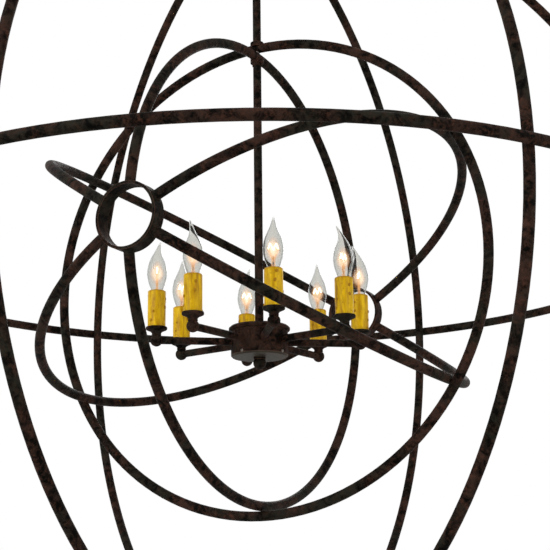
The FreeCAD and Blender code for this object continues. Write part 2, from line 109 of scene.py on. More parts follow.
def join(tree, kind, *sources, operation=None):
    """A new node with outputs linked to its inputs in turn. A maths node also takes its operation."""
    node = tree.nodes.new(kind)
    if operation:
        node.operation = operation
    for source, target in zip(sources, node.inputs):
        tree.links.new(source, target)
    return node


def object_coordinates(tree, scale=(1, 1, 1)):
    """Coordinates fixed to the object, in metres, stretched by a scale."""
    place = tree.nodes.new("ShaderNodeTexCoord")
    mapping = add(tree, "ShaderNodeMapping", Vector=place.outputs["Object"], Scale=scale)
    return mapping.outputs["Vector"]


def noise(tree, where, size, detail=4.0, roughness=0.55, distortion=0.0):
    """Fractal noise whose features are about the given size in metres."""
    node = add(tree, "ShaderNodeTexNoise", Vector=where, Scale=1 / size, Detail=detail,
               Roughness=roughness, Distortion=distortion)
    return node.outputs["Fac"]


def ramp(tree, value, *stops):
    """Colour ramp through (position, colour) stops."""
    node = add(tree, "ShaderNodeValToRGB", Fac=value)
    marks = node.color_ramp.elements
    for index, (position, colour) in enumerate(stops):
        if index >= len(marks):
            marks.new(position)
        marks[index].position = position
        marks[index].color = (*colour, 1)
    return node.outputs["Color"]


def remap(tree, value, onto, span=(0.0, 1.0)):
    """The value carried from one span of numbers onto another, clamped."""
    node = add(tree, "ShaderNodeMapRange", Value=value, From_Min=span[0], From_Max=span[1],
               To_Min=onto[0], To_Max=onto[1])
    return node.outputs["Result"]


def mix(tree, factor, first, second):
    """Two colours mixed by a factor. Colours and factor may be sockets or constants."""
    node = tree.nodes.new("ShaderNodeMix")
    node.data_type = "RGBA"
    for socket, value in ((node.inputs[0], factor), (node.inputs[6], first), (node.inputs[7], second)):
        if isinstance(value, bpy.types.NodeSocket):
            tree.links.new(value, socket)
        elif isinstance(value, tuple):
            socket.default_value = (*value, 1)
        else:
            socket.default_value = value
    return node.outputs[2]


def bump(tree, height, distance, strength, under=None):
    """Bump of a given depth in metres, on top of another one if there is one."""
    node = add(tree, "ShaderNodeBump", Height=height, Distance=distance, Strength=strength)
    if under:
        tree.links.new(under, node.inputs["Normal"])
    return node.outputs["Normal"]


def edge_wear(tree, reach=0.0012):
    """How worn a place is: most where a rounded normal turns away at a sharp edge, and 0 on faces."""
    shape = tree.nodes.new("ShaderNodeNewGeometry")
    rounded = add(tree, "ShaderNodeBevel", Radius=reach)
    rounded.samples = 4
    turn = join(tree, "ShaderNodeVectorMath", rounded.outputs["Normal"], shape.outputs["Normal"],
                operation="DOT_PRODUCT")
    return remap(tree, turn.outputs["Value"], (0.85, 0.0), span=(0.8, 0.97))


def mix_shaders(tree, share, first, second):
    """Two shaders mixed, the second one by a share."""
    return join(tree, "ShaderNodeMixShader", share, first, second).outputs[0]


def seen_directly(tree):
    """1 for rays from the camera, off gloss or through glass, and 0 for the rays that light things."""
    path = tree.nodes.new("ShaderNodeLightPath")
    seen = path.outputs["Is Camera Ray"]
    for ray in ("Is Glossy Ray", "Is Transmission Ray"):
        total = join(tree, "ShaderNodeMath", seen, path.outputs[ray], operation="ADD")
        total.use_clamp = True
        seen = total.outputs[0]
    return seen


# ---- materials ----
def bronze(name, dark, olive, brown, rust, gloss=0.5, sheen=0.02):
    """Rubbed bronze powder coat: near black, clouded with olive and brown and flecked with rust."""
    material, tree, shader = new_material(name)
    where = object_coordinates(tree)
    drift = noise(tree, where, size=0.09, detail=3)
    clouds = noise(tree, where, size=0.024, detail=6, roughness=0.7, distortion=0.8)
    patches = noise(tree, where, size=0.0095, detail=6, roughness=0.78)
    grain = noise(tree, where, size=0.0022, detail=3)
    tint = mix(tree, remap(tree, drift, (0.0, 1.0), span=(0.44, 0.56)), olive, brown)
    base = mix(tree, remap(tree, clouds, (0.0, 1.0), span=(0.42, 0.58)), dark, tint)
    fleck_tint = mix(tree, remap(tree, drift, (0.35, 1.0), span=(0.42, 0.54)), olive, rust)
    colour = mix(tree, remap(tree, patches, (0.0, 0.7), span=(0.5, 0.66)), base, fleck_tint)
    worn_tint = tuple(min(1, 1.8 * part) for part in rust)
    hammered = bump(tree, patches, 0.0012, 0.6)
    fill(tree, shader,
         Base_Color=mix(tree, edge_wear(tree), colour, worn_tint),
         Roughness=remap(tree, clouds, (gloss - 0.08, gloss + 0.14)),
         Normal=bump(tree, grain, 0.0004, 0.5, under=hammered),
         Specular_IOR_Level=sheen)
    return material


def plated_steel():
    """Dull zinc plate with faint brushing and a little staining."""
    material, tree, shader = new_material("plated_steel")
    streaks = noise(tree, object_coordinates(tree, (1, 1, 0.1)), size=0.0012, detail=5, roughness=0.7)
    stains = noise(tree, object_coordinates(tree), size=0.02, detail=3)
    colour = ramp(tree, stains, (0.3, (0.17, 0.165, 0.155)), (0.7, (0.34, 0.33, 0.31)))
    fill(tree, shader,
         Base_Color=mix(tree, edge_wear(tree, 0.0006), colour, (0.5, 0.49, 0.46)),
         Roughness=remap(tree, streaks, (0.34, 0.56)),
         Normal=bump(tree, streaks, 0.0001, 0.4),
         Metallic=0.9)
    return material


def candle_resin():
    """Mustard wax-coloured resin: darker in its upright runs, at its stains and along the lip."""
    material, tree, shader = new_material("candle_resin")
    where = object_coordinates(tree)
    stretched = object_coordinates(tree, (1, 1, 0.16))
    runs = noise(tree, stretched, size=0.006, detail=3, roughness=0.6, distortion=0.3)
    blotches = noise(tree, where, size=0.006, detail=4, roughness=0.65)
    fine = noise(tree, where, size=0.0022, detail=3)
    base = ramp(tree, runs, (0.28, (0.37, 0.17, 0.001)), (0.45, (0.58, 0.33, 0.002)),
                (0.68, (0.84, 0.53, 0.003)))
    stained = mix(tree, remap(tree, blotches, (0.0, 0.5), span=(0.57, 0.68)), base, (0.33, 0.145, 0.002))
    height = add(tree, "ShaderNodeSeparateXYZ", Vector=where).outputs["Z"]
    lip = remap(tree, height, (0.0, 0.6), span=(SLEEVE_TOP - 0.0045, SLEEVE_TOP - 0.0005))
    waxy = bump(tree, runs, 0.0014, 0.6)
    fill(tree, shader,
         Base_Color=mix(tree, lip, stained, (0.3, 0.12, 0.002)),
         Roughness=remap(tree, runs, (0.3, 0.5)),
         Normal=bump(tree, fine, 0.0002, 0.4, under=waxy),
         Specular_IOR_Level=0.14,
         Subsurface_Weight=0.1,
         Subsurface_Radius=(0.6, 0.3, 0.1),
         Subsurface_Scale=0.003)
    return material


def burnt_resin():
    """Brown of the small knots on the candles."""
    material, tree, shader = new_material("burnt_resin")
    tone = noise(tree, object_coordinates(tree), size=0.0012, detail=3)
    fill(tree, shader,
         Base_Color=ramp(tree, tone, (0.3, (0.27, 0.115, 0.001)), (0.7, (0.48, 0.24, 0.002))),
         Roughness=remap(tree, tone, (0.4, 0.6)),
         Normal=bump(tree, tone, 0.0002, 0.4),
         Specular_IOR_Level=0.16)
    return material


def moulded_black():
    """Dark moulded plastic of the lampholders, with a fine moulded grain."""
    material, tree, shader = new_material("lampholder_plastic")
    where = object_coordinates(tree)
    tone = noise(tree, where, size=0.01, detail=3)
    fill(tree, shader,
         Base_Color=ramp(tree, tone, (0.3, (0.018, 0.015, 0.013)), (0.7, (0.045, 0.036, 0.03))),
         Roughness=remap(tree, tone, (0.4, 0.6)),
         Normal=bump(tree, noise(tree, where, size=0.0008), 0.0001, 0.4))
    return material


def brass():
    """Bright brass of the bulbs' screw shells, lightly tarnished."""
    material, tree, shader = new_material("brass_shell")
    tarnish = noise(tree, object_coordinates(tree), size=0.004, detail=4)
    fill(tree, shader,
         Base_Color=ramp(tree, tarnish, (0.3, (0.42, 0.27, 0.09)), (0.65, (0.78, 0.58, 0.26))),
         Roughness=remap(tree, tarnish, (0.2, 0.42)),
         Normal=bump(tree, tarnish, 0.0001, 0.3),
         Metallic=1.0)
    return material


def clear_glass():
    """Clear thin glass, see-through where it faces the eye, with painted shade that greys it edge on."""
    material, tree, shader = new_material("clear_glass")
    facing = add(tree, "ShaderNodeLayerWeight", Blend=0.5)
    waves = noise(tree, object_coordinates(tree), size=0.012, detail=2)
    # painted shade: the glass's colour turns grey where it is seen edge on
    edge = mix(tree, 0.08, facing.outputs["Facing"], waves)
    fill(tree, shader,
         Base_Color=ramp(tree, edge, (0.0, (0.79, 0.78, 0.745)), (0.4, (0.735, 0.735, 0.71)),
                         (0.72, (0.6, 0.61, 0.595)), (0.93, (0.4, 0.415, 0.41))),
         Roughness=remap(tree, waves, (0.0, 0.04)),
         Normal=bump(tree, waves, 0.0003, 0.15),
         Transmission_Weight=1.0,
         IOR=1.05,
         Coat_Weight=0.35,
         Coat_Roughness=0.05)
    return material


def hot_filament():
    """White-hot coil: its brightness ripples along the wire."""
    material, tree, shader = new_material("hot_filament")
    ripple = noise(tree, object_coordinates(tree), size=0.0015, detail=2)
    fill(tree, shader,
         Base_Color=(1.0, 0.7, 0.4, 1),
         Emission_Color=ramp(tree, ripple, (0.3, (1.0, 0.55, 0.2)), (0.7, (1.0, 0.8, 0.5))),
         Emission_Strength=remap(tree, ripple, (16.0, 30.0)),
         Roughness=remap(tree, ripple, (0.4, 0.6)))
    return material


def warm_glow(name, colours, strength, strongest):
    """Light that blooms round something hot: fullest where it faces the eye, gone before its edge."""
    material, tree, shader = new_material(name)
    facing = add(tree, "ShaderNodeLayerWeight", Blend=0.5)
    flicker = noise(tree, object_coordinates(tree), size=0.006, detail=2)
    depth = mix(tree, 0.2, facing.outputs["Facing"], flicker)
    fade = remap(tree, depth, (strongest, 0.0), span=(0.08, 0.6))
    fade.node.interpolation_type = "SMOOTHSTEP"
    fill(tree, shader,
         Base_Color=(0.0, 0.0, 0.0, 1),
         Emission_Color=ramp(tree, depth, *zip((0.08, 0.3, 0.55), colours)),
         Emission_Strength=remap(tree, depth, (strength, 0.6 * strength), span=(0.1, 0.5)),
         Alpha=fade,
         Roughness=remap(tree, flicker, (0.9, 1.0)),
         Specular_IOR_Level=0.0)
    return material


DARK_BRONZE = bronze("dark_bronze", dark=(0.002, 0.0018, 0.0014), olive=(0.019, 0.017, 0.0122),
                     brown=(0.037, 0.0195, 0.0145), rust=(0.072, 0.031, 0.0195))
# the pan cover's bronze: a lighter, greyer copy of the dark bronze, its extra lightness painted light its
# underside reflects
COVER_BRONZE_PAINTED_LIGHT = bronze("grey_bronze_painted_light", dark=(0.03, 0.025, 0.018), olive=(0.05, 0.044, 0.033),
                     brown=(0.048, 0.037, 0.027), rust=(0.06, 0.042, 0.029), sheen=0.06)
# the screws' lighter colours are a painted highlight; their gloss and sheen come from the shader
SCREW_BRONZE_PAINTED_GLINT = bronze("screw_bronze_painted_glint", dark=(0.05, 0.04, 0.03), olive=(0.09, 0.075, 0.06),
                      brown=(0.1, 0.075, 0.055), rust=(0.13, 0.085, 0.06), gloss=0.2, sheen=1.0)
PLATED_STEEL = plated_steel()
CANDLE_RESIN = candle_resin()
BURNT_RESIN = burnt_resin()
MOULDED_BLACK = moulded_black()
BRASS = brass()
GLASS = clear_glass()
FILAMENT = hot_filament()
GLOW = warm_glow("warm_glow", ((1.0, 0.86, 0.64), (1.0, 0.76, 0.5), (1.0, 0.62, 0.36)),
                 strength=2.8, strongest=0.17)
COIL_GLOW = warm_glow("coil_glow", ((1.0, 0.93, 0.78), (1.0, 0.84, 0.6), (1.0, 0.66, 0.36)),
                      strength=2.4, strongest=0.45)
LEAD_GLOW = warm_glow("lead_glow", ((1.0, 0.52, 0.2), (1.0, 0.44, 0.15), (0.9, 0.36, 0.11)),
                      strength=1.5, strongest=0.27)
AMBER_GLOW = warm_glow("amber_glow", ((1.0, 0.46, 0.16), (1.0, 0.42, 0.14), (0.9, 0.36, 0.12)),
                       strength=1.9, strongest=0.11)


# ---- mesh helpers ----
def mesh_from(bm, name, smooth=True):
    """Makes a finished mesh, with its faces turned outwards, and frees the one it was built in."""
    bmesh.ops.recalc_face_normals(bm, faces=bm.faces)
    mesh = bpy.data.meshes.new(name)
    bm.to_mesh(mesh)
    bm.free()
    for polygon in mesh.polygons:
        polygon.use_smooth = smooth
    return mesh


def new_object(name, data):
    """A new object in the scene."""
    thing = bpy.data.objects.new(name, data)
    bpy.context.scene.collection.objects.link(thing)
    return thing


def new_piece(name, bm, material, body):
    """A piece of one material that rides on a body."""
    mesh = mesh_from(bm, name)
    mesh.materials.append(material)
    piece = new_object(name, mesh)
    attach(piece, body)
    return piece


def angles_round(count):
    """So many angles evenly round a circle, in radians."""
    return [2 * math.pi * i / count for i in range(count)]


def circle(bm, centre, first, second, radius, sides):
    """A ring of vertices in the plane of two directions."""
    return [bm.verts.new(centre + (first * math.cos(angle) + second * math.sin(angle)) * radius)
            for angle in angles_round(sides)]


def rings_to_faces(bm, rings, closed=False):
    """Quads between neighbouring rings of vertices, and from the last to the first if closed."""
    pairs = list(zip(rings, rings[1:]))
    if closed:
        pairs.append((rings[-1], rings[0]))
    for lower, upper in pairs:
        count = len(lower)
        for i in range(count):
            j = (i + 1) % count
            bm.faces.new((lower[i], lower[j], upper[j], upper[i]))


def smooth_line(points, steps):
    """Smooth curve through the points, with so many steps between two of them."""
    padded = [points[0], *points, points[-1]]
    line = []
    for k in range(len(points) - 1):
        a, b, c, d = padded[k:k + 4]
        for s in range(steps):
            t = s / steps
            line.append(tuple(
                0.5 * (2 * q + (r - p) * t + (2 * p - 5 * q + 4 * r - u) * t * t
                       + (3 * q - p - 3 * r + u) * t ** 3)
                for p, q, r, u in zip(a, b, c, d)))
    line.append(tuple(points[-1]))
    return line


def lathe(bm, outline, sides, centre, wobble=None, closed=True):
    """Turns an outline about an upright axis. A wobble may change each point by its angle."""
    rings = []
    for radius, height in outline:
        ring = []
        for angle in angles_round(sides):
            r, z = wobble(radius, height, angle) if wobble else (radius, height)
            ring.append(bm.verts.new(centre + Vector((r * math.cos(angle), r * math.sin(angle), z))))
        rings.append(ring)
    rings_to_faces(bm, rings, closed)


def wire(bm, points, radius, sides):
    """Round wire along a line of points, capped at both ends."""
    rings = []
    for k, point in enumerate(points):
        ahead = points[min(k + 1, len(points) - 1)] - points[max(k - 1, 0)]
        across = ahead.cross(Z_AXIS)
        if across.length < 1e-9:
            across = ahead.cross(X_AXIS)
        across.normalize()
        rings.append(circle(bm, point, across, across.cross(ahead).normalized(), radius, sides))
    rings_to_faces(bm, rings)
    bm.faces.new(rings[0])
    bm.faces.new(rings[-1])


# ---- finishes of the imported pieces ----
SLOT_FINISHES = {
    "dark_bronze": DARK_BRONZE,
    "cover_bronze": COVER_BRONZE_PAINTED_LIGHT,
    "plated_steel": PLATED_STEEL,
    "candle_resin": CANDLE_RESIN,
    "lampholder": MOULDED_BLACK,
    "bulb_glass": GLASS,
}
NODE_FINISHES = {               # these differ from the rest of their slot
    "stem_nuts": DARK_BRONZE,
    "pan_screws": SCREW_BRONZE_PAINTED_GLINT,
}


def dress_packed_pieces():
    """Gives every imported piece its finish."""
    for entry in frame["record"]["subparts"]:
        name = entry["node"]
        mesh = nodes[name].data
        mesh.materials.clear()
        mesh.materials.append(NODE_FINISHES.get(name, SLOT_FINISHES[entry["material_slot"]]))


# ---- wax candles ----
SLEEVE_RADIUS = 0.016
SLEEVE_BORE = 0.0113
SLEEVE_SIDES = 96
SLEEVE_STEPS = 40               # rings up the side
LIP_RADIUS = 0.0022
LIP_ANGLES = (0.2, 0.6, 1.0, 1.35)      # radians round the lip, from the side inwards
BORE_MOUTH = ((0.001, 0.0004), (0.0, 0.0018))       # outwards from the bore and down from the top
WAX_DEPTH = 0.0008              # the thickest wax, and how far the bare side stands back for it
WAX_REACH = 0.003               # how far in from the outside the wax goes over the lip
DRIPS = 11
DRIP_JITTER = 0.3               # share of the gap between two runs
DRIP_WIDTHS = (0.1, 0.17)       # radians round the candle
DRIP_LENGTHS = (0.25, 0.95)     # shares of the candle's height
DRIP_AMOUNTS = (0.35, 0.75)     # shares of the thickest wax
DRIP_END = 0.03                 # over this share of the height a run thins out
DRIP_BEAD = 0.05                # and over this one it swells to a bead
RUN_SHARE, BEAD_SHARE = 0.55, 0.45

KNOTS = 9
KNOT_SIZES = (0.0016, 0.0027)   # half of a knot's width
KNOT_STRETCH = 1.25             # how much taller than wide a knot is
KNOT_RELIEF = 0.42              # its thickness, as a share of its width
KNOT_UNEVENNESS = 0.12
KNOT_SINK = 0.0001
KNOT_JITTER = 0.02              # share of a full turn
KNOT_STEP_ROUND, KNOT_STEP_UP = 0.7549, 0.5698      # steps that spread the knots evenly
KNOT_LOWEST, KNOT_SPREAD = 0.08, 0.82               # shares of the candle's height

CUP_SIDES = 64
CUP_OUTLINE = (
    (0.0049, 0.0203), (0.0049, 0.0086), (0.0079, 0.0086), (0.0082, 0.0095), (0.0079, 0.0104),
    (0.0077, 0.0113), (0.0083, 0.0127), (0.0098, 0.0144), (0.0126, 0.0161), (0.0160, 0.0175),
    (0.0178, 0.0186), (0.01822, 0.0204), (0.0179, 0.0226), (0.0172, 0.0226), (0.0170, 0.0212),
    (0.0168, 0.0203),
)
OUTLINE_STEPS = 4


def candle_places():
    """Number, angle and foot of each candle's axis, on the arms' level."""
    for index in range(ARM_COUNT):
        angle = math.radians(FIRST_ARM_ANGLE + 360 * index / ARM_COUNT)
        foot = Vector((ARM_RADIUS * math.cos(angle), ARM_RADIUS * math.sin(angle), ARM_Z))
        yield index + 1, angle, foot


def drip_pattern(seed):
    """Angle, width, length and amount of each wax run down one candle."""
    pick = random.Random(seed)
    runs = []
    for k in range(DRIPS):
        angle = 2 * math.pi * (k + pick.uniform(-DRIP_JITTER, DRIP_JITTER)) / DRIPS
        runs.append((angle, pick.uniform(*DRIP_WIDTHS), pick.uniform(*DRIP_LENGTHS),
                     pick.uniform(*DRIP_AMOUNTS)))
    return runs


def wax_height(runs, angle, depth):
    """How much wax stands on the candle at an angle and a share of its height from the top."""
    wax = 0.0
    for run_angle, width, length, amount in runs:
        gap = (angle - run_angle + math.pi) % (2 * math.pi) - math.pi
        across = math.exp(-(gap / width) ** 2)
        bead = math.exp(-((depth - length) / DRIP_BEAD) ** 2)
        along = 1.0 if depth < length else math.exp(-((depth - length) / DRIP_END) ** 2)
        wax = max(wax, amount * across * (RUN_SHARE * along + BEAD_SHARE * bead))
    return wax


def candle(number, foot):
    """A wax-covered sleeve: rounded lip, runs down the side and a plain bore."""
    runs = drip_pattern(number)
    height = SLEEVE_TOP - SLEEVE_BOTTOM
    base = SLEEVE_BOTTOM - ARM_Z
    top = base + height
    bare = SLEEVE_RADIUS - WAX_DEPTH
    side = [(bare, base + height * k / SLEEVE_STEPS) for k in range(SLEEVE_STEPS - 1)]
    lip = [(bare - LIP_RADIUS * (1 - math.cos(a)), top - LIP_RADIUS * (1 - math.sin(a)))
           for a in LIP_ANGLES]
    mouth = [(SLEEVE_BORE + wider, top - lower) for wider, lower in BORE_MOUTH]

    def drip(radius, z, angle):
        """Puts the wax on the side and the lip, and leaves the bore plain."""
        if radius < SLEEVE_RADIUS - WAX_REACH:
            return radius, z
        return radius + WAX_DEPTH * min(1, wax_height(runs, angle, (top - z) / height)), z

    bm = bmesh.new()
    lathe(bm, [*side, *lip, *mouth, (SLEEVE_BORE, base)], SLEEVE_SIDES, foot, drip)
    piece = new_piece(f"candle_{number}", bm, CANDLE_RESIN, "stem")
    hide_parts("candle_sleeves")


def candle_knots(number, foot):
    """Small brown knots, scattered evenly over the candle and slightly proud of its side."""
    pick = random.Random(100 + number)
    turned = pick.uniform(0, 1)
    bm = bmesh.new()
    for k in range(KNOTS):
        angle = 2 * math.pi * ((turned + k * KNOT_STEP_ROUND) % 1 + pick.uniform(-KNOT_JITTER, KNOT_JITTER))
        share = KNOT_LOWEST + KNOT_SPREAD * (k * KNOT_STEP_UP % 1)
        height = SLEEVE_BOTTOM + (SLEEVE_TOP - SLEEVE_BOTTOM) * share
        size = pick.uniform(*KNOT_SIZES)
        out = Vector((math.cos(angle), math.sin(angle), 0))
        across = Vector((-out.y, out.x, 0))
        middle = Vector((foot.x, foot.y, height)) + out * (SLEEVE_RADIUS - KNOT_SINK)
        knot = bmesh.ops.create_icosphere(bm, subdivisions=2, radius=1)
        for vert in knot["verts"]:
            lump = size * (1 + pick.uniform(-KNOT_UNEVENNESS, KNOT_UNEVENNESS))
            upwards = Vector((0, 0, KNOT_STRETCH * vert.co.y))
            vert.co = middle + (across * vert.co.x + upwards + out * vert.co.z * KNOT_RELIEF) * lump
    new_piece(f"candle_{number}_knots", bm, BURNT_RESIN, "stem")


def drip_cup(number, foot):
    """Spun trumpet cup with a rolled rim, in place of the plain one."""
    bm = bmesh.new()
    lathe(bm, smooth_line(CUP_OUTLINE, OUTLINE_STEPS), CUP_SIDES, foot)
    piece = new_piece(f"cup_{number}", bm, DARK_BRONZE, "stem")
    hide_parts("drip_cups")


# ---- flame bulbs ----
BASE_RADIUS = 0.00595
BASE_HEIGHT = 0.024
BULB_TURNS = (165, 217, 179, 37, 316, 307, 232, 9)     # where each tip leans, outwards being 0

GLASS_OUTLINE = (
    (0.0058, 0.0), (0.0070, 0.004), (0.0105, 0.015), (0.0151, 0.029), (0.0170, 0.043),
    (0.0148, 0.058), (0.0110, 0.068), (0.0071, 0.077), (0.0045, 0.085), (0.0029, 0.092),
    (0.0016, 0.0985), (0.0002, 0.1005),
)
GLASS_SIDES = 48
GLASS_WALL = 0.0007
GLASS_TOP = 0.1005
CAVITY_TOP = 0.0955
NARROWEST = 0.00015
TIP_START = 0.070
TIP_LEAN = 0.0103
TIP_CURVE = 1.6                 # 1 would lean the tip along a straight line

SHELL_SIDES = 40
SHELL_FOOT = ((0.0022, 0.0), (0.0035, 0.0012), (0.0046, 0.0032))
SHELL_HEAD = ((BASE_RADIUS - 0.0002, 0.019), (BASE_RADIUS - 0.0002, 0.0238), (0.0045, 0.0239),
              (0.0022, 0.0239))
THREADS = 5
THREAD_STEPS = 6
THREAD_RIPPLE = 0.00035
THREAD_RADIUS = BASE_RADIUS - 0.0004
THREAD_START, THREAD_LENGTH = 0.004, 0.013

MOUNT_SIDES = 24
MOUNT_OUTLINE = ((0.0001, 0.0265), (0.0016, 0.0258), (0.0017, 0.018), (0.0022, 0.010),
                 (0.0046, 0.001), (0.0040, 0.001), (0.0012, 0.008), (0.0001, 0.009))
MOUNT_STEPS = 3

COIL_REACH, COIL_HEIGHT = 0.0080, 0.043
COIL_CORNERS = ((-COIL_REACH, COIL_HEIGHT), (-0.0048, 0.0525), (0.0, 0.042), (0.0048, 0.0525),
                (COIL_REACH, COIL_HEIGHT))              # sideways and up from the glass's foot
LEAD_CORNERS = ((0.0016, 0.006), (0.0012, 0.024), (0.0036, 0.034), (COIL_REACH, COIL_HEIGHT))
COIL_STEPS = 12                 # from one corner to the next
COIL_WINDINGS = 3
COIL_RADIUS = 0.0005
LEAD_RADIUS, LEAD_GLOW_RADIUS = 0.00022, 0.0030
FILAMENT_RADIUS, COIL_GLOW_RADIUS = 0.0003, 0.0027
WIRE_SIDES = 12
WIRE_STEPS = 6

GLOW_HEIGHT = 0.0435
GLOW_TAPER = 0.25
GLOWS = (("glow", 0.0128, 0.0165, GLOW), ("amber_glow", 0.0152, 0.0225, AMBER_GLOW))


def flame_centre(height, turn):
    """The glass's centre line leans aside towards its tip."""
    share = max(0.0, (height - TIP_START) / (GLASS_TOP - TIP_START))
    lean = TIP_LEAN * share ** TIP_CURVE
    return Vector((lean * math.cos(turn), lean * math.sin(turn), height))


def flame_rings(bm, seat, turn, inset):
    """One skin of the glass, a given inset inside its outline. The inner skin ends below the tip."""
    rings = []
    for radius, height in smooth_line(GLASS_OUTLINE, OUTLINE_STEPS):
        if inset and height > CAVITY_TOP:
            continue
        middle = seat + flame_centre(height, turn)
        rings.append(circle(bm, middle, X_AXIS, Y_AXIS, max(NARROWEST, radius - inset), GLASS_SIDES))
    rings_to_faces(bm, rings)
    bm.faces.new(rings[-1])
    return rings


def bulb_glass(body, seat, turn):
    """Blown glass with a bent tip: an outer and an inner skin, joined at the foot."""
    bm = bmesh.new()
    outer = flame_rings(bm, seat, turn, 0)
    inner = flame_rings(bm, seat, turn, GLASS_WALL)
    rings_to_faces(bm, (outer[0], inner[0]))
    glass = new_piece(f"{body}_glass", bm, GLASS, body)
    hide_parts(body)


def screw_shell(body, foot):
    """Brass shell with rounded threads."""
    thread = []
    for k in range(THREADS * THREAD_STEPS + 1):
        share = k / (THREADS * THREAD_STEPS)
        ripple = THREAD_RIPPLE * math.cos(2 * math.pi * share * THREADS)
        thread.append((THREAD_RADIUS + ripple, THREAD_START + THREAD_LENGTH * share))
    bm = bmesh.new()
    lathe(bm, (*SHELL_FOOT, *thread, *SHELL_HEAD), SHELL_SIDES, foot)
    new_piece(f"{body}_shell", bm, BRASS, body)


def glass_mount(body, seat):
    """The glass stem inside the bulb, flared at its foot, that holds the lead wires."""
    bm = bmesh.new()
    lathe(bm, smooth_line(MOUNT_OUTLINE, MOUNT_STEPS), MOUNT_SIDES, seat, closed=False)
    new_piece(f"{body}_mount", bm, GLASS, body)


def coil_turns(path):
    """Fine turns of wire wound round a path."""
    points = []
    for a, b in zip(path, path[1:]):
        for k in range(COIL_STEPS):
            share = k / COIL_STEPS
            spin = 2 * math.pi * share * COIL_WINDINGS
            points.append(a.lerp(b, share) + Vector((math.cos(spin), math.sin(spin), 0)) * COIL_RADIUS)
    points.append(path[-1])
    return points


def lit_wires(body, seat, side):
    """Lead wires, the filament hung between them like an M, and the glow close round both."""
    leads = [[seat + Vector((0, 0, height)) + side * (way * reach) for reach, height in LEAD_CORNERS]
             for way in (-1, 1)]
    coil = [seat + side * reach + Vector((0, 0, height)) for reach, height in COIL_CORNERS]
    wires = (
        ("leads", leads, LEAD_RADIUS, PLATED_STEEL),
        ("lead_glow", leads, LEAD_GLOW_RADIUS, LEAD_GLOW),
        ("filament", [coil_turns(coil)], FILAMENT_RADIUS, FILAMENT),
        ("coil_glow", [coil], COIL_GLOW_RADIUS, COIL_GLOW),
    )
    for name, lines, radius, material in wires:
        bm = bmesh.new()
        for line in lines:
            wire(bm, [Vector(point) for point in smooth_line(line, WIRE_STEPS)], radius, WIRE_SIDES)
        new_piece(f"{body}_{name}", bm, material, body)


def wide_glow(body, seat):
    """Two soft blooms of light round the filament, each a little narrower towards its top."""
    for name, wide, tall, material in GLOWS:
        bm = bmesh.new()
        bmesh.ops.create_uvsphere(bm, u_segments=24, v_segments=16, radius=1)
        for vert in bm.verts:
            pull = wide * (1 - GLOW_TAPER * max(0.0, vert.co.z))
            vert.co = seat + Vector((vert.co.x * pull, vert.co.y * pull, GLOW_HEIGHT + vert.co.z * tall))
        new_piece(f"{body}_{name}", bm, material, body)


def bulb(number, angle, foot):
    """Clear bent-tip bulb: blown glass, screw shell, glass mount, lead wires and lit filament."""
    body = f"bulb_{number}"
    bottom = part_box(body)[0].z
    seat = Vector((foot.x, foot.y, bottom + BASE_HEIGHT))
    bulb_glass(body, seat, angle + math.radians(BULB_TURNS[number - 1]))
    screw_shell(body, Vector((foot.x, foot.y, bottom)))
    glass_mount(body, seat)
    lit_wires(body, seat, Vector((-math.sin(angle), math.cos(angle), 0)))
    wide_glow(body, seat)


# ---- weld beads ----
BEAD_RADIUS = 0.0016
BEAD_STEPS = 40                 # round the tube
BEAD_SIDES = 8                  # round the bead


def bead_ring(bm, centre, out, along, seed):
    """A lumpy fillet of weld round a tube, where it meets a hub ring of the given axis."""
    phase = random.Random(seed).uniform(0, 6.28)
    across = out.cross(along)
    rings = []
    for a in angles_round(BEAD_STEPS):
        lump = 1 + 0.16 * math.sin(12 * a + phase) + 0.1 * math.sin(5 * a + 2 * phase)
        rim = across * math.cos(a) + along * math.sin(a)
        dip = RING_RADIUS - math.sqrt(RING_RADIUS ** 2 - (TUBE_RADIUS * math.cos(a)) ** 2)
        middle = centre + rim * TUBE_RADIUS - out * dip
        rings.append(circle(bm, middle, rim, out, BEAD_RADIUS * lump, BEAD_SIDES))
    rings_to_faces(bm, rings, closed=True)


def ring_welds(name, body, centre, axis, outs):
    """Beads round the tubes that leave one hub ring in the given directions."""
    bm = bmesh.new()
    for index, out in enumerate(outs):
        bead_ring(bm, centre + out * RING_RADIUS, out, axis, f"{name}{index}")
    new_piece(name, bm, DARK_BRONZE, body)


def directions(angles, first, second):
    """Unit vectors at these angles from a first direction towards a second one."""
    return [first * math.cos(math.radians(a)) + second * math.sin(math.radians(a)) for a in angles]


def welds():
    """Beads round every tube end on the four hub rings."""
    pole = Z_AXIS * math.sqrt(OUTER_HOOP_RADIUS ** 2 - RING_RADIUS ** 2)
    outs = directions([90 + OUTER_TURN + 60 * k for k in range(6)], X_AXIS, Y_AXIS)
    ring_welds("welds_outer_top", "outer_orb", OUTER_CENTRE + pole, Z_AXIS, outs)
    ring_welds("welds_outer_bottom", "outer_orb", OUTER_CENTRE - pole, Z_AXIS, outs)
    side = Y_AXIS * math.sqrt(INNER_HOOP_RADIUS ** 2 - RING_RADIUS ** 2)
    outs = directions(INNER_BULGES, X_AXIS, Z_AXIS)
    ring_welds("welds_inner_front", "inner_orb", INNER_CENTRE - side, Y_AXIS, outs)
    ring_welds("welds_inner_rear", "inner_orb", INNER_CENTRE + side, Y_AXIS, outs)


# ---- studio ----
FLOOR_Z = -2.7
ROOM = 30.0
FADE_START, FADE_END = 1.0, 0.42 * ROOM
FADE_LEAST = 0.45               # share of white right under the lamp
WHITE = (1, 1, 1, 1)
WORLD_LIGHT = 0.55
LAMPS = (                       # name, place, size and power
    ("key", (-1.4, -3.6, 0.4), 2.2, 90),
    ("fill", (3.6, -0.6, -0.4), 2.4, 40),
    ("back", (-1.2, 3.6, 0.8), 2.0, 40),
)


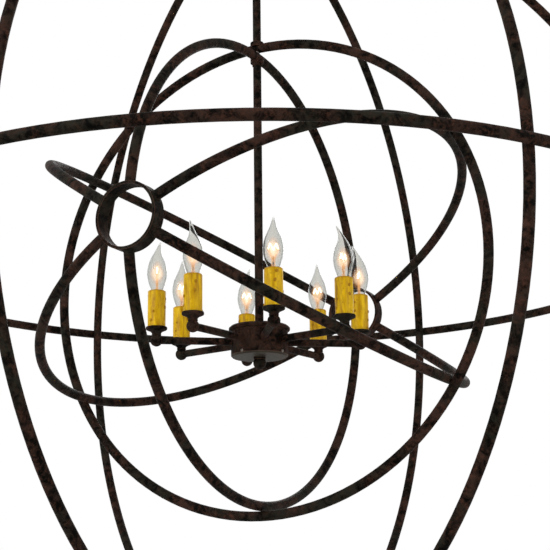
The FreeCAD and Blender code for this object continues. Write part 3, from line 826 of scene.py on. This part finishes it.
def floor_material():
    """Pale floor that keeps the shadow under the lamp, fades to white further out and has no underside."""
    material, tree, shader = new_material("pale_floor")
    where = object_coordinates(tree)
    tone = noise(tree, where, size=1.5, detail=3)
    fill(tree, shader,
         Base_Color=ramp(tree, tone, (0.3, (0.84, 0.84, 0.84)), (0.7, (0.87, 0.87, 0.865))),
         Roughness=0.8)
    reach = join(tree, "ShaderNodeVectorMath", where, operation="LENGTH")
    far = remap(tree, reach.outputs["Value"], (FADE_LEAST, 1.0), span=(FADE_START, FADE_END))
    far.node.interpolation_type = "SMOOTHSTEP"
    share = join(tree, "ShaderNodeMath", far, seen_directly(tree), operation="MULTIPLY")
    white = add(tree, "ShaderNodeEmission", Color=WHITE, Strength=1.0)
    upper = mix_shaders(tree, share.outputs[0], shader.outputs[0], white.outputs[0])
    side = tree.nodes.new("ShaderNodeNewGeometry")
    nothing = tree.nodes.new("ShaderNodeBsdfTransparent")
    both = mix_shaders(tree, side.outputs["Backfacing"], upper, nothing.outputs[0])
    tree.links.new(both, tree.nodes["Material Output"].inputs["Surface"])
    return material


def studio():
    """Floor far below, and white surroundings that light things less than they show."""
    bm = bmesh.new()
    bmesh.ops.create_grid(bm, x_segments=2, y_segments=2, size=ROOM / 2)
    mesh = mesh_from(bm, "studio_floor", smooth=False)
    mesh.materials.append(floor_material())
    floor = new_object("studio_floor", mesh)
    floor.location = (0, 0, FLOOR_Z)

    world = bpy.data.worlds.new("studio")
    bpy.context.scene.world = world
    world.use_nodes = True
    tree = world.node_tree
    shown = fill(tree, tree.nodes["Background"], Color=WHITE, Strength=1.0)
    lit = add(tree, "ShaderNodeBackground", Color=WHITE, Strength=WORLD_LIGHT)
    both = mix_shaders(tree, seen_directly(tree), lit.outputs[0], shown.outputs[0])
    tree.links.new(both, tree.nodes["World Output"].inputs["Surface"])


def lamps():
    """A soft key from the camera's left, a weaker fill from its right, and one from behind."""
    for name, place, size, power in LAMPS:
        light = bpy.data.lights.new(name, "AREA")
        light.size = size
        light.energy = power
        lamp = new_object(name, light)
        lamp.visible_camera = False
        lamp.visible_transmission = False
        lamp.location = place
        lamp.rotation_euler = (INNER_CENTRE - Vector(place)).to_track_quat("-Z", "Y").to_euler()


# ---- camera ----
FOCAL_PIXELS = 1336.0
PICTURE_PIXELS = 550
SENSOR = 36.0
CAMERA_AZIMUTH = -61.26         # where the camera stands, seen from the inner cage's centre
CAMERA_DISTANCE = 5.789 * INNER_HOOP_RADIUS
CAMERA_DROP = 14.06             # its angle below the inner cage's centre
CAMERA_PITCH = 13.95            # how far it looks up
CAMERA_YAW = 0.71               # how far it looks right of the stem
CAMERA_ROLL = -0.66


def camera():
    """Stands where the photograph was taken from, looking up at the inner cage."""
    stand, drop = math.radians(CAMERA_AZIMUTH), math.radians(CAMERA_DROP)
    pitch, yaw, roll = (math.radians(a) for a in (CAMERA_PITCH, CAMERA_YAW, CAMERA_ROLL))
    away = Vector((-math.cos(stand), -math.sin(stand), 0))
    right = Vector((away.y, -away.x, 0))
    place = INNER_CENTRE - away * (CAMERA_DISTANCE * math.cos(drop))
    place.z -= CAMERA_DISTANCE * math.sin(drop)
    ahead = (away * math.cos(yaw) + right * math.sin(yaw)) * math.cos(pitch)
    ahead.z = math.sin(pitch)
    level = ahead.cross(Z_AXIS).normalized()
    above = level.cross(ahead).normalized()
    across = level * math.cos(roll) + above * math.sin(roll)
    up = above * math.cos(roll) - level * math.sin(roll)

    lens = bpy.data.cameras.new("camera")
    lens.sensor_width = SENSOR
    lens.lens = FOCAL_PIXELS * SENSOR / PICTURE_PIXELS
    eye = new_object("camera", lens)
    turn = Matrix((across, up, -ahead)).transposed()
    eye.matrix_world = Matrix.Translation(place) @ turn.to_4x4()
    bpy.context.scene.camera = eye


# ---- the whole scene ----
dress_packed_pieces()
for place_number, place_angle, place_foot in candle_places():
    candle(place_number, place_foot)
    candle_knots(place_number, place_foot)
    drip_cup(place_number, place_foot)
    bulb(place_number, place_angle, place_foot)
welds()
studio()
lamps()
camera()

bpy.context.scene.view_settings.view_transform = "Standard"
